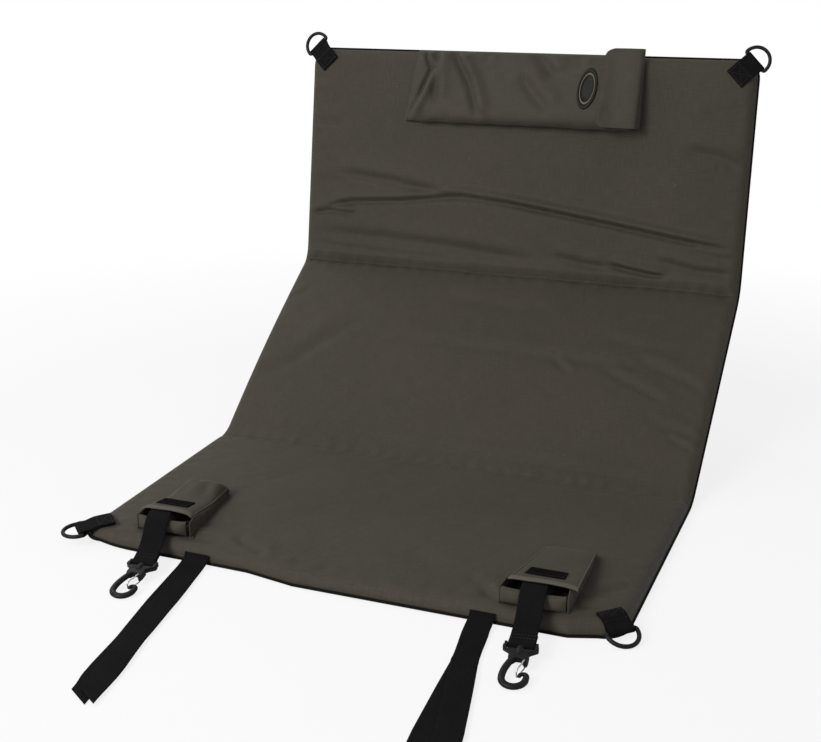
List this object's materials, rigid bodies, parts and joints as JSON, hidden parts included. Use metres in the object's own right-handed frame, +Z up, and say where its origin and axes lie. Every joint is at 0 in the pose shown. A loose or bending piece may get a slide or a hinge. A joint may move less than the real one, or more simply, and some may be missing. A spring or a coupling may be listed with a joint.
{
  "type": "unhooking mat",
  "caption": "Folding padded fish mat of three fabric panels, with corner D-rings, tie straps, stowed hook straps with swivel snap hooks and a rear pocket.",
  "frame": {"origin": "middle of the front panel's flat underside", "axes": "+X to the right seen from the front edge, +Y from the front edge towards the raised panels, +Z up"},
  "size_m": [0.6941, 0.9903, 0.5327],
  "materials": {
    "cover": "woven nylon",
    "base_fabric": "coated fabric",
    "foam": "closed-cell foam",
    "webbing": "woven webbing",
    "plastic": "moulded black",
    "wire": "plated",
    "patch": "hook and loop",
    "badge": "matt"
  },
  "bodies": {
    "front_panel": {"front_foam_core": "foam", "front_top_cover": "cover", "front_base_cover": "base_fabric", "front_piping": "webbing", "front_fold_web": "cover", "tab_front_left": "webbing", "tab_front_right": "webbing", "hook_pouch_left": "cover", "hook_pouch_right": "cover", "hook_strap_root_left": "webbing", "hook_strap_root_right": "webbing"},
    "middle_panel": {"middle_foam_core": "foam", "middle_top_cover": "cover", "middle_base_cover": "base_fabric", "middle_piping_left": "webbing", "middle_piping_right": "webbing", "middle_fold_web_front": "cover", "middle_fold_web_rear": "cover"},
    "rear_panel": {"rear_fold_web": "cover", "rear_foam_core": "foam", "rear_top_cover": "cover", "rear_base_cover": "base_fabric", "rear_piping": "webbing", "tab_rear_left": "webbing", "tab_rear_right": "webbing", "rear_pocket": "cover", "badge": "badge"},
    "d_ring_front_left_body": {"d_ring_front_left": "plastic"},
    "d_ring_front_right_body": {"d_ring_front_right": "plastic"},
    "d_ring_rear_left_body": {"d_ring_rear_left": "plastic"},
    "d_ring_rear_right_body": {"d_ring_rear_right": "plastic"},
    "tie_strap_left_body": {"tie_strap_left": "webbing"},
    "pouch_flap_left_body": {"pouch_flap_left": "cover", "pouch_patch_left": "patch"},
    "hook_strap_left_body": {"hook_strap_tail_left": "webbing"},
    "clip_base_left_body": {"clip_base_left": "plastic"},
    "snap_hook_left_body": {"snap_hook_left": "plastic"},
    "wire_gate_left_body": {"wire_gate_left": "wire"},
    "tie_strap_right_body": {"tie_strap_right": "webbing"},
    "pouch_flap_right_body": {"pouch_flap_right": "cover", "pouch_patch_right": "patch"},
    "hook_strap_right_body": {"hook_strap_tail_right": "webbing"},
    "clip_base_right_body": {"clip_base_right": "plastic"},
    "snap_hook_right_body": {"snap_hook_right": "plastic"},
    "wire_gate_right_body": {"wire_gate_right": "wire"},
    "pocket_end_flap_body": {"pocket_end_flap": "cover"}
  },
  "joints": [
    {"name": "front_fold", "type": "hinge", "parent": "front_panel", "child": "middle_panel", "pos_m": [0, 0.1745, 0.0225], "axis": [-1, 0, 0], "range_deg": [-115.5, 34.5]},
    {"name": "rear_fold", "type": "hinge", "parent": "middle_panel", "child": "rear_panel", "pos_m": [0, 0.4444, 0.208], "axis": [1, 0, 0], "range_deg": [-45.9, 124.1]},
    {"name": "d_ring_front_left_swing", "type": "hinge", "parent": "front_panel", "child": "d_ring_front_left_body", "pos_m": [-0.32884, -0.16486, 0.0145], "axis": [-0.7071, 0.7071, 0], "range_deg": [-15, 110]},
    {"name": "d_ring_front_right_swing", "type": "hinge", "parent": "front_panel", "child": "d_ring_front_right_body", "pos_m": [0.32262, -0.16712, 0.0105], "axis": [-0.7071, -0.7071, 0], "range_deg": [0, 120]},
    {"name": "d_ring_rear_left_swing", "type": "hinge", "parent": "rear_panel", "child": "d_ring_rear_left_body", "pos_m": [-0.31838, 0.50436, 0.51153], "axis": [0.7071, 0.1179, 0.6972], "range_deg": [-60, 90]},
    {"name": "d_ring_rear_right_swing", "type": "hinge", "parent": "rear_panel", "child": "d_ring_rear_right_body", "pos_m": [0.32121, 0.50365, 0.50734], "axis": [0.7071, -0.1179, -0.6972], "range_deg": [-60, 90]},
    {"name": "tie_strap_left_lift", "type": "hinge", "parent": "front_panel", "child": "tie_strap_left_body", "pos_m": [-0.1691, -0.16757, 0.01217], "axis": [-0.9996, 0.0267, 0], "range_deg": [0, 100]},
    {"name": "pouch_flap_left_lift", "type": "hinge", "parent": "front_panel", "child": "pouch_flap_left_body", "pos_m": [-0.229, -0.0205, 0.0286], "axis": [-1, 0, 0], "range_deg": [0, 150]},
    {"name": "hook_strap_left_lift", "type": "hinge", "parent": "front_panel", "child": "hook_strap_left_body", "pos_m": [-0.2305, -0.1488, 0.0394], "axis": [-0.9588, -0.284, 0], "range_deg": [0, 90]},
    {"name": "clip_left_tilt", "type": "hinge", "parent": "hook_strap_left_body", "child": "clip_base_left_body", "pos_m": [-0.2121, -0.21093, 0.0125], "axis": [-0.9962, -0.0872, 0], "range_deg": [-30, 90]},
    {"name": "snap_hook_left_swivel", "type": "hinge", "parent": "clip_base_left_body", "child": "snap_hook_left_body", "pos_m": [-0.2121, -0.21093, 0.0125], "axis": [-0.0861, 0.9839, 0.1564], "continuous": true},
    {"name": "wire_gate_left_swing", "type": "hinge", "parent": "snap_hook_left_body", "child": "wire_gate_left_body", "pos_m": [-0.20233, -0.23536, 0.00851], "axis": [-0.0136, 0.1558, -0.9877], "range_deg": [0, 20], "stiffness_Nm_per_rad": 0.02, "springref_deg": -20.05},
    {"name": "tie_strap_right_lift", "type": "hinge", "parent": "front_panel", "child": "tie_strap_right_body", "pos_m": [0.1795, -0.18184, 0.01217], "axis": [-1, 0.0048, 0], "range_deg": [0, 100]},
    {"name": "pouch_flap_right_lift", "type": "hinge", "parent": "front_panel", "child": "pouch_flap_right_body", "pos_m": [0.2355, -0.03, 0.0286], "axis": [-1, 0, 0], "range_deg": [0, 150]},
    {"name": "hook_strap_right_lift", "type": "hinge", "parent": "front_panel", "child": "hook_strap_right_body", "pos_m": [0.2302, -0.1703, 0.0394], "axis": [-0.9914, -0.1305, 0], "range_deg": [0, 90]},
    {"name": "clip_right_tilt", "type": "hinge", "parent": "hook_strap_right_body", "child": "clip_base_right_body", "pos_m": [0.23866, -0.23455, 0.0125], "axis": [-0.989, -0.1478, 0], "range_deg": [-30, 90]},
    {"name": "snap_hook_right_swivel", "type": "hinge", "parent": "clip_base_right_body", "child": "snap_hook_right_body", "pos_m": [0.23866, -0.23455, 0.0125], "axis": [-0.146, 0.9768, 0.1564], "continuous": true},
    {"name": "wire_gate_right_swing", "type": "hinge", "parent": "snap_hook_right_body", "child": "wire_gate_right_body", "pos_m": [0.2499, -0.25833, 0.00851], "axis": [-0.0231, 0.1547, -0.9877], "range_deg": [0, 20], "stiffness_Nm_per_rad": 0.02, "springref_deg": -20.05},
    {"name": "pocket_end_flap_lift", "type": "hinge", "parent": "rear_panel", "child": "pocket_end_flap_body", "pos_m": [0.1765, 0.4446, 0.20797], "axis": [0, -0.1668, -0.986], "range_deg": [-80, 0]}
  ]
}
